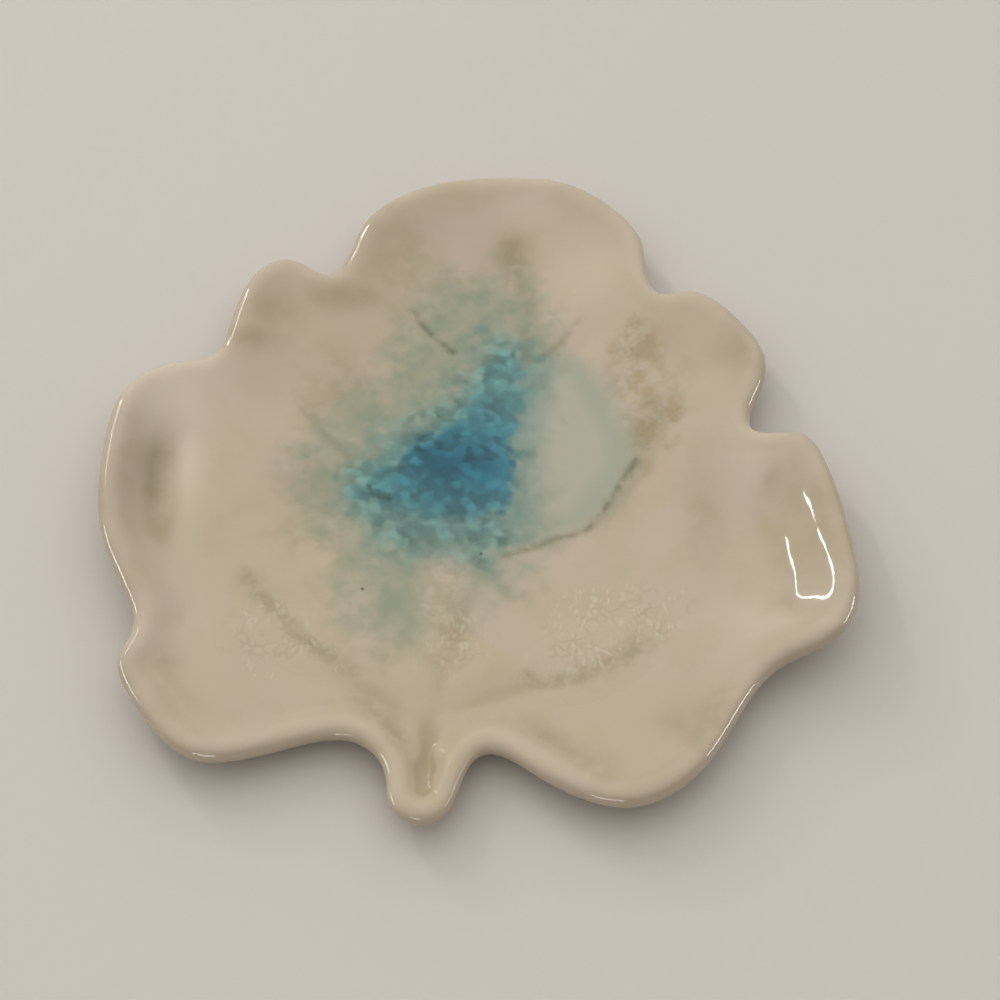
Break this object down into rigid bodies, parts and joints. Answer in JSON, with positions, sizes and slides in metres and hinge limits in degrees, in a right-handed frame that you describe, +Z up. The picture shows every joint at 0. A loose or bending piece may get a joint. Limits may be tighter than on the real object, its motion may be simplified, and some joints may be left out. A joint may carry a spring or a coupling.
{
  "type": "ring dish",
  "caption": "Shallow leaf-shaped stoneware dish with lobed, curled edges, a stem tab, cream glaze and pools of crackled turquoise glass, for holding rings.",
  "frame": {"origin": "on the table under the middle of the leaf's outline", "axes": "+Z up, out of the open side of the dish; -Y towards the stem tab; +X to the right seen from the stem"},
  "size_m": [0.1153, 0.1168, 0.0109],
  "materials": {
    "glazed_stoneware": "cream glaze, glossy, darker olive where it pools in the veins",
    "turquoise_glass": "clear turquoise glass, crackled right through, glossy",
    "aqua_glass": "pale aqua glass, glossy, few cracks",
    "cream_crackle": "colourless glass crackled over the cream glaze, glossy"
  },
  "bodies": {
    "root": {"leaf_body": "glazed_stoneware", "turquoise_glass_pool": "turquoise_glass", "aqua_glass_pool": "aqua_glass", "lower_right_crackle": "cream_crackle", "lower_left_crackle": "cream_crackle", "upper_right_crackle": "cream_crackle", "stem_crackle": "cream_crackle"}
  },
  "joints": []
}
